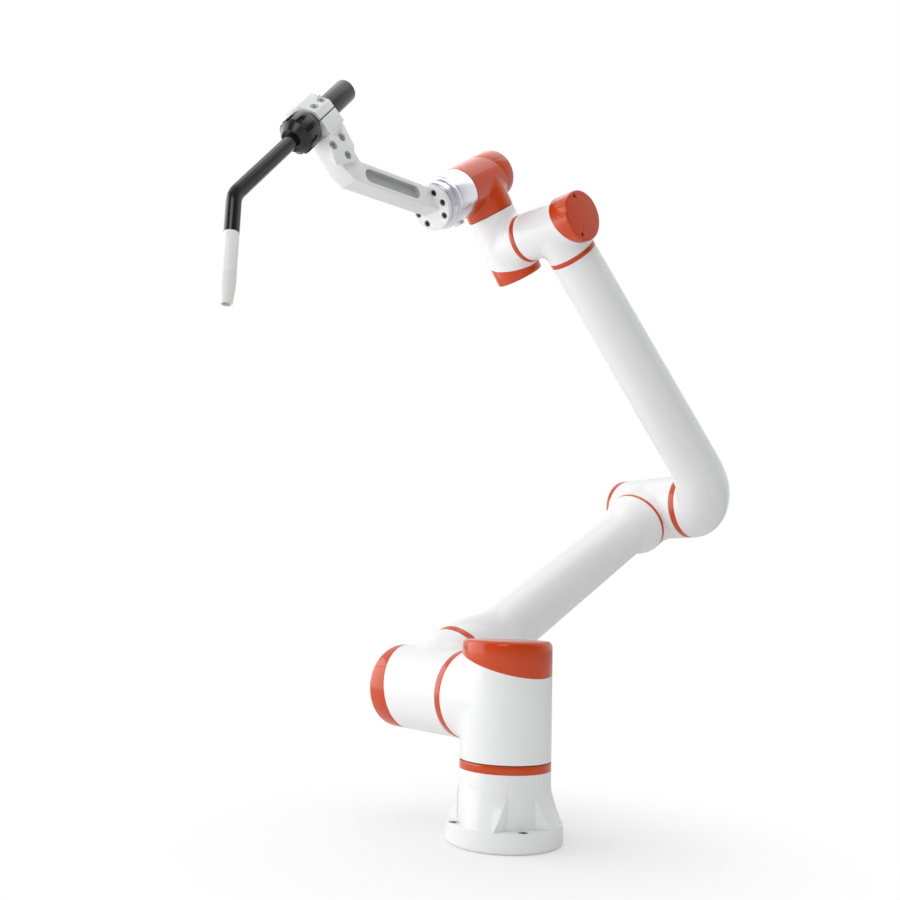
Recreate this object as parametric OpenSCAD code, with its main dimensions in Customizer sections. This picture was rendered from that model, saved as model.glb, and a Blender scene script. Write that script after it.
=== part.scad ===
/* [Base] */
// Diameter of the base, shoulder and upper joint housings
column_d = 150; // [130:1:170]
// Width of the base flange beyond the column
flange_rim = 20; // [17:0.5:24]
// Thickness of the base flange
flange_t = 31; // [20:1:40]
// Height of the base casting, up to its orange ring
base_h = 112; // [96:1:140]
// Height at which the flared skirt starts below the ring
skirt_top = 90; // [70:1:92]
// Depth of the counterbore over a base bolt hole
base_bore_depth = 9; // [4:1:14]
// Turn of the bolt pattern against the plane of the arm
base_turn = 21; // [0:1:45]

/* [Rings and joint gaps] */
// Width of the orange ring on a large joint
ring_w = 13; // [8:1:16]
// Width of the orange ring on a wrist joint
wrist_ring_w = 9.5; // [6:0.5:11]
// Width of the shadow gap at a joint
joint_gap = 1.5; // [1:0.1:2]
// Depth of the shadow gap at a joint
gap_depth = 2.5; // [1.5:0.1:4]
// Running clearance at a joint face
run_clear = 0.3; // [0.2:0.05:0.5]

/* [Housing blends] */
// Distance from the side of a housing to the ring on its branch
branch_step = 8; // [6:0.5:12]
// Width of the soft blend where a branch runs into its housing
blend_w = 14; // [8:1:16]

/* [Shoulder] */
// Distance from the shoulder housing's branch down to its joint face
shoulder_foot = 19.5; // [14:0.5:26]
// Distance from the shoulder housing's branch up to the face of its cap
shoulder_cap_over = 20; // [14:0.5:26]

/* [Upper arm] */
// Distance between the shoulder axis and the elbow axis
upper_len = 760; // [600:10:900]
// Lean of the upper arm back from the vertical, at rest
upper_lean = 59; // [40:1:80]
// Diameter of the upper arm at its lower ring
upper_foot_d = 158; // [140:1:164]
// Diameter of the upper arm at its waist
upper_waist_d = 106; // [90:1:130]
// Diameter of the upper arm at its upper ring
upper_head_d = 141; // [130:1:146]
// Width of the orange ring at the lower end of the upper arm
foot_ring_w = 12; // [8:1:14]
// Width of the orange ring at the upper end of the upper arm
head_ring_w = 8.5; // [6:0.5:12]
// Distance from the upper arm's lower branch to the shoulder joint face
arm_face_over = 8; // [5:0.5:14]
// Distance from the upper arm's lower branch to the face of the joint cap
arm_cap_over = 22; // [16:0.5:30]

/* [Elbow] */
// Diameter of the elbow housings
elbow_d = 142; // [128:1:150]
// Distance from the side of the elbow housing to the elbow joint face
elbow_face_over = 22; // [16:0.5:30]
// Distance from the side of the elbow housing to the face of the elbow cap
elbow_cap_over = 14; // [12:0.5:24]

/* [Forearm] */
// Distance between the elbow axis and the first wrist axis
fore_len = 718; // [500:10:800]
// Lean of the forearm forward from the vertical, at rest
fore_lean = 47.6; // [30:0.1:60]
// Diameter of the forearm at its lower end
fore_low_d = 106; // [98:1:114]
// Diameter of the forearm at its ring
fore_top_d = 95; // [88:1:96]
// Distance from the side of the forearm to the orange ring of the elbow
fore_bend_in = 11; // [8:0.5:18]
// Distance along the forearm from the rim of the elbow ring to the end of the bend
fore_bend_out = 49; // [30:1:60]

/* [Wrist] */
// Diameter of the wrist housings
wrist_d = 96.5; // [90:0.5:104]
// Distance from the side of a wrist housing to its joint face
wrist_face_over = 22; // [18:0.5:30]
// Distance from the side of a wrist housing to the face of its cap
wrist_cap_over = 20; // [18:0.5:30]
// Distance from the side of the third wrist housing to its joint face
wrist_3_over = 27.25; // [20:0.25:34]
// Lean of the second wrist axis forward from the vertical, at rest
wrist_lean = 38.5; // [20:0.5:60]
// Turn of the tool axis out of the plane of the arm, at rest
tool_turn = 7; // [0:1:20]

/* [Joint caps] */
// Slope of the slanted joint between a cap and its housing
cap_slope = 26; // [20:1:28]
// Width of a cap on its short side, beside the branch of the housing
cap_short = 3; // [2:0.5:6]
// Radius of the rounded rim of a large cap
cap_round = 8; // [4:1:10]
// Radius of the rounded rim of a wrist cap
wrist_cap_round = 3.5; // [2:0.5:5]

/* [Tool flange] */
// Length of the silver flange housing
flange_body_len = 64; // [50:1:80]
// Depth of the turned step on the front of the tool flange
flange_step = 3.25; // [2:0.25:5]
// Length of the turned step on the front of the tool flange
flange_step_len = 18; // [10:1:24]
// Diameter of the cable connector under the tool flange
connector_d = 20; // [14:1:24]
// Pitch circle diameter of the tool flange screws
tool_pcd = 63; // [56:1:66]
// Diameter of a tool flange screw hole
tool_hole_d = 9; // [6:0.5:10]

/* [Torch bracket] */
// Diameter of the bracket plate
plate_d = 84; // [80:1:90]
// Thickness of the bracket plate
plate_t = 12; // [8:1:16]
// Width of the flat on the edge of the bracket plate
plate_flat = 36; // [33:1:38]
// Thickness of the bracket bar
bar_t = 36; // [30:1:40]
// Width of the bracket bar
bar_w = 38; // [32:1:42]
// Angle of the bracket bar to the flange axis
bar_angle = 32.3; // [28:0.1:36]
// Height over the flange axis at which the bracket bar leaves the plate
bar_root_h = 13.5; // [6:0.5:18]
// Length of the bracket bar from the plate to the outer corner of its knee
bar_len = 192; // [176:1:206]
// Width of the riser that carries the torch clamp
riser_w = 45; // [36:1:52]
// Lean of the riser away from the flange
riser_lean = 8; // [4:0.5:12]
// Width of the recess in the bracket bar
recess_w = 24; // [16:1:28]
// Length of the recess in the bracket bar
recess_len = 132; // [110:1:140]
// Depth of the recess in the bracket bar
recess_depth = 12; // [6:1:16]

/* [Torch clamp] */
// Length of the torch clamp along the torch
clamp_len = 48; // [40:1:52]
// Distance from the torch clamp to the collet nut
clamp_gap = 14; // [10:1:20]
// Thickness of the clamp wall under its two screws
clamp_wall = 5.2; // [4:0.2:8]
// Thickness of the foot plate that ties the clamp to the riser
foot_t = 7; // [5:0.5:9]

/* [Torch] */
// Distance along the flange axis from the plate to the bend of the torch neck
neck_bend_x = 414; // [390:1:440]
// Height of the bend of the torch neck over the flange axis
neck_bend_h = 155; // [145:1:165]
// Slope of the torch body towards the flange axis
torch_slope = 14.5; // [12:0.5:17]
// Bend between the torch body and the nozzle
neck_bend = 35; // [22:1:45]
// Distance from the bend of the neck to the collet nut
neck_len = 170; // [155:1:180]
// Diameter of the torch body
torch_d = 39; // [34:1:42]
// Length of the torch body from its rear end to the collet nut
torch_len = 142; // [130:1:150]
// Diameter of the collet nut
nut_d = 62; // [56:1:66]
// Length of the collet nut
nut_len = 46; // [40:1:50]
// Diameter of the torch neck tube
neck_d = 25; // [20:1:27]
// Radius of the bend in the neck tube
neck_r = 40; // [34:1:60]
// Diameter of the gas nozzle
nozzle_d = 24.5; // [22:0.5:27]
// Diameter of the mouth of the gas nozzle
nozzle_mouth_d = 17.5; // [15:0.5:20]
// Bore of the gas nozzle
nozzle_bore_d = 13; // [12:0.5:14]
// Distance from the bend of the neck to the insulating sleeve
sleeve_start = 62; // [54:1:70]
// Length of the insulating sleeve over the neck end
sleeve_len = 63; // [50:1:70]
// Length of the gas nozzle
nozzle_len = 52; // [45:1:60]

/* [Hidden] */
$fn = 96;

white = "#F2F2F0";
orange = "#D8491F";
silver = "#B9BCC4";
dark = "#2B2B2B";
grey = "#6A6C70";
tip_copper = "#B87333";
big = 1000;

// Sizes that follow from the ones above
touch = 0.3;
flange_d = column_d + 2 * flange_rim;
base_pcd = column_d + flange_rim;
base_hole_d = 0.55 * flange_rim;
base_bore_d = 0.85 * flange_rim;
shoulder_face = column_d / 2 + shoulder_foot;
shoulder_h = base_h + ring_w + joint_gap + shoulder_face;
shoulder_top = column_d / 2 + shoulder_cap_over;
shoulder_reach = column_d / 2 + branch_step;
upper_face = upper_foot_d / 2 + arm_face_over;
arm_offset = shoulder_reach + ring_w + joint_gap + upper_face;
arm_cap_reach = upper_foot_d / 2 + arm_cap_over;
upper_foot_reach = column_d / 2 + touch;
upper_head_reach = elbow_d / 2 + touch;
elbow_reach = elbow_d / 2 + elbow_face_over;
elbow_cap_reach = elbow_d / 2 + elbow_cap_over;
fore_ring_side = fore_low_d / 2 + fore_bend_in;
fore_offset = elbow_reach + joint_gap + ring_w + fore_ring_side;
fore_ring_reach = wrist_d / 2 + branch_step + 2.25;
wrist_reach = wrist_d / 2 + wrist_face_over;
wrist_cap_reach = wrist_d / 2 + wrist_cap_over;
wrist_branch = wrist_d / 2 + branch_step;
wrist_offset = wrist_reach + joint_gap + wrist_ring_w + wrist_branch;
wrist_3_face = wrist_d / 2 + wrist_3_over;
flange_start = wrist_3_face + joint_gap;

// Radius of the flared skirt of the base at height z
skirt_flare = (flange_d - column_d) / 2 - 0.5;
function skirt_r(z) = column_d / 2 - 0.3 + skirt_flare * pow((skirt_top - z) / (skirt_top - flange_t), 1.5);

// Radius of the upper arm at the share s of the way from its lower to its upper ring
tube_low = upper_foot_reach + foot_ring_w;
tube_high = upper_len - upper_head_reach - head_ring_w;
function ease(s) = s * s * (3 - 2 * s);
low_flare = 0.2;
high_flare = 0.1;
function tube_r(s) =
    s < low_flare ? upper_waist_d / 2 + (upper_foot_d - upper_waist_d) / 2 * ease(1 - s / low_flare)
    : s > 1 - high_flare ? upper_waist_d / 2
        + (upper_head_d - upper_waist_d) / 2 * ease((s - 1 + high_flare) / high_flare)
    : upper_waist_d / 2;

// Frames of the moving bodies, each with its own axis along its local Z
module upper_frame() {
    translate([0, -arm_offset, shoulder_h]) rotate([0, -upper_lean, 0]) children();
}
elbow_x = -upper_len * sin(upper_lean);
elbow_z = shoulder_h + upper_len * cos(upper_lean);
fore_y = fore_offset - arm_offset;
module fore_frame() {
    translate([elbow_x, fore_y, elbow_z]) rotate([0, fore_lean, 0]) children();
}
wrist_x = elbow_x + fore_len * sin(fore_lean);
wrist_z = elbow_z + fore_len * cos(fore_lean);
module wrist_2_frame() {
    translate([wrist_x, fore_y - wrist_offset, wrist_z]) rotate([0, wrist_lean, 0]) children();
}
// In this frame Z runs along the tool axis, X along the second wrist axis
module tool_frame() {
    wrist_2_frame() translate([0, 0, wrist_offset]) rotate([0, 0, tool_turn])
        rotate([0, 90, 0]) rotate([0, 0, 180]) children();
}

// A half space over z = 0, tilted so that it is lowest on the -X side
module slanted_space(slope) {
    rotate([0, -slope, 0]) translate([-big, -big, 0]) cube([2 * big, 2 * big, big]);
}
// A turned cap that ends at z = top, with a rounded rim, cut by the slanted joint.
// Its short side lies towards +X, where the branch of the housing is.
module cap(d, top, rim) {
    intersection() {
        capped_bar(d, 0, top, rim);
        translate([d / 2, 0, top - cap_short]) slanted_space(cap_slope);
    }
}
module capped_bar(d, bottom, top, rim) {
    rotate_extrude() {
        difference() {
            translate([0, bottom]) square([d / 2, top - bottom]);
            translate([d / 2 - rim, top - rim]) square([rim + 1, rim + 1]);
        }
        intersection() {
            translate([d / 2 - rim, top - rim]) circle(rim);
            translate([d / 2 - rim, top - rim]) square([rim, rim]);
        }
    }
}
// A motor housing: a bar along Z from its joint face at -reach to the slanted joint
// under its cap, with a branch of diameter branch_d along +X that flows into the bar
module housing(d, reach, top, rim, branch_d, branch_reach) {
    difference() {
        union() {
            capped_bar(d, -reach, top, rim);
            blend(d / 2, branch_d / 2, branch_reach, min(blend_w, top - cap_short - branch_d / 2 - 1),
                min(blend_w, reach - branch_d / 2 - 1));
        }
        intersection() {
            translate([d / 2, 0, top - cap_short]) slanted_space(cap_slope);
            translate([0, 0, -reach]) cylinder(d = d + 1, h = top + reach + 1);
        }
    }
}
// The blend is a closed skin about the X axis. Each of its lines starts on the round end
// of the branch (radius rb, at x = reach) and runs out on the side of the bar (radius rt),
// at a radius that is wide towards the cap and the joint face and stays within the bar
// at the flanks. w_cap and w_face are the widths of the blend on those two sides.
blend_lines = 48;
blend_steps = 6;
flank = sin(85);
function blend_w_at(a, w_cap, w_face) = w_face + (w_cap - w_face) * (1 + cos(a)) / 2;
function soft_min(p, q) = pow(pow(p, -6) + pow(q, -6), -1 / 6);
function blend_r(a, rt, rb, w) = soft_min(rb + w, rt * flank / max(abs(sin(a)), 0.01));
function bar_x(a, r, rt) = sqrt(rt * rt - pow(r * sin(a), 2));
// Control point of a line, as [x, r]: where the tangents at both ends of it meet
function blend_knee(a, r, x, rb, reach) =
    r > rb ? [min(x + r * pow(sin(a), 2) * (r - rb) / x, reach), rb] : [(x + reach) / 2, r];
function curve(p, q, r, t) = p * pow(1 - t, 2) + q * 2 * t * (1 - t) + r * t * t;
function blend_line(a, rt, rb, reach, w) =
    let (r = blend_r(a, rt, rb, w), x = bar_x(a, r, rt), knee = blend_knee(a, r, x, rb, reach))
    [for (k = [0:blend_steps]) let (t = k / blend_steps)
        curve([reach, rb], knee, [x, r] * 0.985, t)];
module blend(rt, rb, reach, w_cap, w_face) {
    n = blend_lines;
    lines = [for (j = [0:n - 1]) let (a = 360 * j / n)
        [for (p = blend_line(a, rt, rb, reach, blend_w_at(a, w_cap, w_face)))
            [p[0], p[1] * sin(a), p[1] * cos(a)]]];
    points = [for (k = [0:blend_steps], j = [0:n - 1]) lines[j][k]];
    last = n * blend_steps;
    polyhedron(
        points = concat(points, [[0, 0, 0]]),
        faces = concat(
            [[for (j = [0:n - 1]) j]],
            [for (k = [0:blend_steps - 1], j = [0:n - 1])
                [k * n + j, (k + 1) * n + (j + 1) % n, k * n + (j + 1) % n]],
            [for (k = [0:blend_steps - 1], j = [0:n - 1])
                [k * n + j, (k + 1) * n + j, (k + 1) * n + (j + 1) % n]],
            [for (j = [0:n - 1]) [last + j, last + n, last + (j + 1) % n]]));
}
// A short ring or disc that starts at z = start
module band(d, start, w) {
    translate([0, 0, start]) cylinder(d = d, h = w);
}

/* Base */

base_edge = 5;
skirt_steps = 12;
pocket_inner = 1.2 * flange_rim;
pocket_outer = 2.45 * flange_rim;
pocket_edge = 0.68 * flange_rim;
module base_casting() {
    color(white) difference() {
        union() {
            cylinder(d = column_d, h = base_h);
            rotate_extrude() {
                square([flange_d / 2 - base_edge, flange_t]);
                translate([0, base_edge]) square([flange_d / 2, flange_t - base_edge]);
                intersection() {
                    translate([flange_d / 2 - base_edge, base_edge]) circle(base_edge);
                    translate([flange_d / 2 - base_edge, 0]) square([base_edge, base_edge]);
                }
            }
            difference() {
                rotate_extrude() polygon(concat([[0, flange_t - 1]],
                    [for (i = [0:skirt_steps]) let (z = flange_t + (skirt_top - flange_t) * i / skirt_steps)
                        [skirt_r(z), i == 0 ? z - 1 : z]],
                    [[0, skirt_top]]));
                for (i = [0:3]) rotate([0, 0, base_turn + 45 + 90 * i]) pocket_wedge();
            }
        }
        for (i = [0:3]) rotate([0, 0, base_turn + 45 + 90 * i]) translate([base_pcd / 2, 0, 0]) {
            translate([0, 0, -1]) cylinder(d = base_hole_d, h = flange_t + 2);
            translate([0, 0, flange_t - base_bore_depth]) cylinder(d = base_bore_d, h = base_bore_depth + 1);
        }
    }
}
// Wedge above the flange that clears a bolt, open to the outside
module pocket_wedge() {
    x0 = column_d / 2 - 2;
    x1 = flange_d / 2 - pocket_edge;
    x2 = flange_d / 2 + 20;
    wide = pocket_outer + (pocket_outer - pocket_inner) * (x2 - x1) / (x1 - x0);
    translate([0, 0, flange_t]) linear_extrude(skirt_top)
        polygon([[x0 - 20, -pocket_inner], [x0, -pocket_inner], [x2, -wide], [x2, wide], [x0, pocket_inner],
            [x0 - 20, pocket_inner]]);
}
module base_ring() {
    color(orange) band(column_d, base_h, ring_w);
}
module base_output_disc() {
    color(grey) band(column_d - 2 * gap_depth, base_h + ring_w, joint_gap - run_clear);
}

/* Shoulder */

// The shoulder branches towards -Y, so its short cap side lies there
module shoulder_frame() {
    translate([0, 0, shoulder_h]) rotate([0, 0, -90]) children();
}
module shoulder_housing() {
    color(white) shoulder_frame()
        housing(column_d, shoulder_face, shoulder_top, cap_round, column_d, shoulder_reach);
}
module shoulder_cap() {
    color(orange) shoulder_frame() cap(column_d, shoulder_top, cap_round);
}
module toward_arm() {
    translate([0, 0, shoulder_h]) rotate([90, 0, 0]) children();
}
module shoulder_ring() {
    color(orange) toward_arm() band(column_d, shoulder_reach, ring_w);
}
module shoulder_output_disc() {
    color(grey) toward_arm()
        band(column_d - 2 * gap_depth, shoulder_reach + ring_w, joint_gap - run_clear);
}

/* Upper arm */

// Turns a housing so that its cap points to -Y and its branch along the local Z
module cap_to_minus_y() {
    rotate([0, -90, 0]) rotate([90, 0, 0]) children();
}
module upper_joint_housing() {
    color(white) upper_frame() cap_to_minus_y()
        housing(column_d, upper_face, arm_cap_reach, cap_round, upper_foot_d, upper_foot_reach);
}
module upper_joint_cap() {
    color(orange) upper_frame() cap_to_minus_y() cap(column_d, arm_cap_reach, cap_round);
}
module upper_arm_lower_ring() {
    color(orange) upper_frame() band(upper_foot_d, upper_foot_reach, foot_ring_w);
}
tube_steps = 40;
module upper_arm_tube() {
    color(white) upper_frame() rotate_extrude() polygon(concat(
        [[0, tube_low]],
        [for (i = [0:tube_steps]) let (s = i / tube_steps) [tube_r(s), tube_low + (tube_high - tube_low) * s]],
        [[0, tube_high]]));
}
module upper_arm_upper_ring() {
    color(orange) upper_frame() band(upper_head_d, tube_high, head_ring_w);
}
module elbow_frame() {
    upper_frame() translate([0, 0, upper_len]) rotate([0, 180, 0]) children();
}
module elbow_housing() {
    color(white) elbow_frame() cap_to_minus_y()
        housing(elbow_d, elbow_reach, elbow_cap_reach, cap_round, upper_head_d, upper_head_reach);
}
module elbow_cap() {
    color(orange) elbow_frame() cap_to_minus_y() cap(elbow_d, elbow_cap_reach, cap_round);
}
module elbow_output_disc() {
    color(grey) elbow_frame() rotate([-90, 0, 0])
        band(elbow_d - 2 * gap_depth, elbow_reach, joint_gap - run_clear);
}

/* Forearm */

module elbow_ring() {
    color(orange) fore_frame() rotate([90, 0, 0]) band(elbow_d, fore_ring_side, ring_w);
}
fore_tube_end = fore_len - fore_ring_reach - wrist_ring_w;
module forearm_tube() {
    color(white) fore_frame() {
        translate([0, 0, bend_end - touch])
            cylinder(d1 = fore_low_d, d2 = fore_top_d, h = fore_tube_end - bend_end + touch);
        forearm_bend();
    }
}
// The lower end is a pipe bend. Its round sections turn about one line across the arm,
// from the elbow ring to the tube, while they shrink from the ring to the tube.
bend_end = elbow_d / 2 + fore_bend_out;
bend_steps = 14;
bend_lines = 48;
function bend_radius(a) = elbow_d / 2 + (fore_low_d - elbow_d) / 2 * ease(a / 90);
function bend_axis(a) =
    bend_end * fore_ring_side / sqrt(pow(fore_ring_side * cos(a), 2) + pow(bend_end * sin(a), 2));
module forearm_bend() {
    n = bend_lines;
    last = n * bend_steps;
    polyhedron(
        points = [for (k = [0:bend_steps], j = [0:n - 1])
            let (a = 90 * k / bend_steps, b = 360 * j / n, r = bend_radius(a), m = bend_axis(a) + r * cos(b))
            [r * sin(b), m * sin(a) - fore_ring_side, bend_end - m * cos(a)]],
        faces = concat(
            [[for (j = [0:n - 1]) n - 1 - j]],
            [[for (j = [0:n - 1]) last + j]],
            [for (k = [0:bend_steps - 1], j = [0:n - 1])
                [k * n + j, k * n + (j + 1) % n, (k + 1) * n + (j + 1) % n]],
            [for (k = [0:bend_steps - 1], j = [0:n - 1])
                [k * n + j, (k + 1) * n + (j + 1) % n, (k + 1) * n + j]]));
}
module forearm_ring() {
    color(orange) fore_frame() band(fore_top_d, fore_tube_end, wrist_ring_w);
}
// Turns a housing so that its cap points to +Y and its branch along the local Z
module cap_to_plus_y() {
    rotate([0, -90, 0]) rotate([-90, 0, 0]) children();
}
module wrist_1_frame() {
    fore_frame() translate([0, 0, fore_len]) rotate([0, 180, 0]) children();
}
module wrist_1_housing() {
    color(white) wrist_1_frame() cap_to_plus_y()
        housing(wrist_d, wrist_reach, wrist_cap_reach, wrist_cap_round, fore_top_d, fore_ring_reach);
}
module wrist_1_cap() {
    color(orange) wrist_1_frame() cap_to_plus_y() cap(wrist_d, wrist_cap_reach, wrist_cap_round);
}
module wrist_1_output_disc() {
    color(grey) wrist_1_frame() rotate([90, 0, 0])
        band(wrist_d - 2 * gap_depth, wrist_reach, joint_gap - run_clear);
}

/* Wrist 2 */

module wrist_2_ring() {
    color(orange) wrist_2_frame() rotate([-90, 0, 0])
        band(wrist_d, wrist_branch, wrist_ring_w);
}
module wrist_2_housing() {
    color(white) wrist_2_frame() rotate([0, 0, 90]) rotate([180, 0, 0])
        housing(wrist_d, wrist_reach, wrist_cap_reach, wrist_cap_round, wrist_d, wrist_branch);
}
module wrist_2_cap() {
    color(orange) wrist_2_frame() rotate([0, 0, 90]) rotate([180, 0, 0])
        cap(wrist_d, wrist_cap_reach, wrist_cap_round);
}
module wrist_2_output_disc() {
    color(grey) wrist_2_frame() band(wrist_d - 2 * gap_depth, wrist_reach, joint_gap - run_clear);
}

/* Wrist 3, in the tool frame */

module wrist_3_housing() {
    color(orange) tool_frame() rotate([0, 180, 0])
        housing(wrist_d, wrist_3_face, wrist_cap_reach, wrist_cap_round, wrist_d,
            wrist_branch + wrist_ring_w);
}
module wrist_3_cap() {
    color(orange) tool_frame() rotate([0, 180, 0]) cap(wrist_d, wrist_cap_reach, wrist_cap_round);
}
module wrist_3_output_disc() {
    color(grey) tool_frame() band(wrist_d - 2 * gap_depth, wrist_3_face, joint_gap - run_clear);
}

/* Tool */

flange_step_d = wrist_d - 2 * flange_step;
flange_face = flange_start + flange_body_len + flange_step_len;
plate_face = flange_face + plate_t;
screw_depth = 12;
thread_d = 5;
module tool_holes(d, start, depth) {
    for (i = [0:5]) rotate([0, 0, 30 + 60 * i]) translate([tool_pcd / 2, 0, start]) cylinder(d = d, h = depth);
}
connector_reach = 5;
module tool_flange() {
    color(silver) tool_frame() difference() {
        union() {
            band(wrist_d, flange_start, flange_body_len);
            band(flange_step_d, flange_start + flange_body_len, flange_step_len);
            translate([-wrist_d / 2 - connector_reach, 0, flange_start + flange_body_len / 2])
                rotate([0, 90, 0]) cylinder(d = connector_d, h = wrist_d / 4);
        }
        tool_holes(thread_d, flange_face - screw_depth, screw_depth + 1);
    }
}
module bracket_plate() {
    color(white) tool_frame() difference() {
        intersection() {
            band(plate_d, flange_face, plate_t);
            translate([-plate_d, -plate_d, flange_face]) cube([plate_d + plate_flat, 2 * plate_d, plate_t]);
        }
        tool_holes(tool_hole_d, flange_face - 1, plate_t + 2);
    }
}
// Outlines of the bracket are drawn as [height over the flange axis, distance along it]
module outline(t) {
    rotate([90, 0, 0]) translate([0, 0, -t / 2]) linear_extrude(t) children();
}
bar_dir = [sin(bar_angle), cos(bar_angle)];
bar_normal = [cos(bar_angle), -sin(bar_angle)];
bar_root = [bar_root_h, plate_face];
root_half = [bar_w / 2 / cos(bar_angle), 0];
knee_step = 0.38 * bar_w;
knee_in = bar_root + bar_dir * (bar_len - knee_step) + bar_normal * bar_w / 2;
knee_out = bar_root + bar_dir * bar_len - bar_normal * bar_w / 2;
riser_h = torch_h(knee_in[1]) - knee_in[0];
riser_in = knee_in + riser_h * [1, tan(riser_lean)];
riser_out = knee_in + [0, riser_w];
module bracket_bar() {
    color(white) tool_frame() difference() {
        outline(bar_t) polygon([bar_root - root_half, bar_root + root_half, knee_in, riser_in,
            riser_in + [0, riser_w - 4], riser_out, knee_out]);
        for (side = [-1, 1]) translate([0, side * bar_t / 2, 0]) outline(2 * recess_depth) bar_recess();
        above_riser();
    }
}
module bar_recess() {
    translate(bar_root + bar_dir * bar_len * 0.53) rotate(-bar_angle) {
        square([recess_w, recess_len - recess_w], center = true);
        for (s = [-1, 1]) translate([0, s * (recess_len - recess_w) / 2]) circle(d = recess_w);
    }
}
// Height of the torch axis over the flange axis, at the distance z along it
function torch_h(z) = neck_bend_h + (plate_face + neck_bend_x - z) * tan(torch_slope);

/* Torch, in a frame whose Z runs along the torch body to the bend of the neck */

module torch_place() {
    translate([neck_bend_h, 0, plate_face + neck_bend_x]) rotate([0, -torch_slope, 0]) children();
}
module torch_frame() {
    tool_frame() torch_place() children();
}
nut_front = -neck_len;
nut_back = nut_front - nut_len;
body_rear = nut_back - torch_len;

// The clamp is a split block of eight sides round the torch. On the near upper side its
// wall is thin, and two screws go in there; the far side is deeper.
clamp_start = nut_back - clamp_gap - clamp_len;
clamp_facet = torch_d / 2 + clamp_wall;
clamp_near = bar_t / 2 + foot_t;
clamp_far = torch_d / 2 + 21.5;
clamp_top = torch_d / 2 + 14.5;
clamp_bottom = torch_d / 2 + 10.5;
clamp_edge = 8;
clamp_split = 2;
clamp_split_x = -3;
facet_low = clamp_facet * sqrt(2) - clamp_near;
facet_side = clamp_facet * sqrt(2) - clamp_top;
module clamp_block() {
    difference() {
        translate([0, 0, clamp_start]) linear_extrude(clamp_len) polygon([
            [-clamp_bottom, -clamp_near], [facet_low, -clamp_near],
            [clamp_top, -facet_side], [clamp_top, clamp_far - clamp_edge], [clamp_top - clamp_edge, clamp_far],
            [-clamp_bottom + clamp_edge, clamp_far], [-clamp_bottom, clamp_far - clamp_edge]]);
        translate([0, 0, clamp_start - 1]) cylinder(d = torch_d, h = clamp_len + 2);
    }
}
module clamp_upper() {
    color(white) torch_frame() difference() {
        clamp_block();
        translate([clamp_split_x - big, -big / 2, -big]) cube([big, big, big]);
    }
}
module clamp_lower() {
    color(white) torch_frame() difference() {
        clamp_block();
        translate([clamp_split_x - clamp_split, -big / 2, -big]) cube([big, big, big]);
    }
}
// Everything over the underside of the clamp
module above_riser() {
    torch_place() translate([-clamp_bottom, -big / 2, -big]) cube([big, big, 2 * big]);
}
// The foot plate lies on the near side of the riser, with a lobe round each of its screws
foot_screws = [[44, 14], [37, 42], [14, 21]];
foot_lobe = 10;
module clamp_foot() {
    color(white) tool_frame() difference() {
        translate([0, -bar_t / 2 - foot_t / 2, 0]) outline(foot_t) {
            polygon([for (p = [[76, 4], [66, 47], [22, 64], [10, 64], [4, 22], [28, 4]]) knee_in + p]);
            for (p = foot_screws) translate(knee_in + p) circle(foot_lobe);
        }
        above_riser();
    }
}
rear_edge = 3;
lug_h = 4;
module torch_body() {
    color(dark) torch_frame() {
        translate([0, 0, body_rear]) cylinder(d1 = torch_d - 2 * rear_edge, d2 = torch_d, h = rear_edge);
        band(torch_d, body_rear + rear_edge, torch_len - rear_edge);
        translate([torch_d / 2 - 2, -5, body_rear + 16]) cube([lug_h + 2, 10, 14]);
    }
}
nut_cone = 13;
nut_flats = 10;
nut_slot = [7, 4];
module collet_nut() {
    color(dark) torch_frame() difference() {
        union() {
            band(nut_d, nut_back, nut_len - nut_cone);
            translate([0, 0, nut_front - nut_cone])
                cylinder(d1 = nut_d - 6, d2 = neck_d + 12, h = nut_cone);
        }
        for (i = [0:nut_flats - 1]) rotate([0, 0, (i + 0.5) * 360 / nut_flats])
            translate([nut_d / 2 - nut_slot[1] / 2, -nut_slot[0] / 2, nut_back + 7])
                cube([nut_slot[1], nut_slot[0], nut_len]);
    }
}
neck_straight = neck_r * tan(neck_bend / 2);
neck_joint = 0.5;
module torch_neck() {
    color(dark) torch_frame() {
        band(neck_d, nut_front, neck_joint - nut_front - neck_straight);
        translate([-neck_r, 0, -neck_straight]) rotate([90, 0, 0])
            rotate_extrude(angle = neck_bend) translate([neck_r, 0]) circle(d = neck_d - 0.1);
        nozzle_frame() band(neck_d, neck_straight - neck_joint, sleeve_start - neck_straight + neck_joint);
    }
}
module nozzle_frame() {
    rotate([0, -neck_bend, 0]) children();
}
nozzle_start = sleeve_start + sleeve_len;
nozzle_straight = 12;
module nozzle_sleeve() {
    color(silver) torch_frame() nozzle_frame() band(nozzle_d - 1, sleeve_start, sleeve_len);
}
module gas_nozzle() {
    color(silver) torch_frame() nozzle_frame() translate([0, 0, nozzle_start]) difference() {
        union() {
            cylinder(d = nozzle_d, h = nozzle_straight);
            translate([0, 0, nozzle_straight])
                cylinder(d1 = nozzle_d, d2 = nozzle_mouth_d, h = nozzle_len - nozzle_straight);
        }
        translate([0, 0, -1]) cylinder(d = nozzle_bore_d, h = nozzle_len + 2);
    }
}
tip_d = 8;
tip_inset = 4;
module contact_tip() {
    color(tip_copper) torch_frame() nozzle_frame() band(tip_d, nozzle_start, nozzle_len - tip_inset);
}

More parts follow.
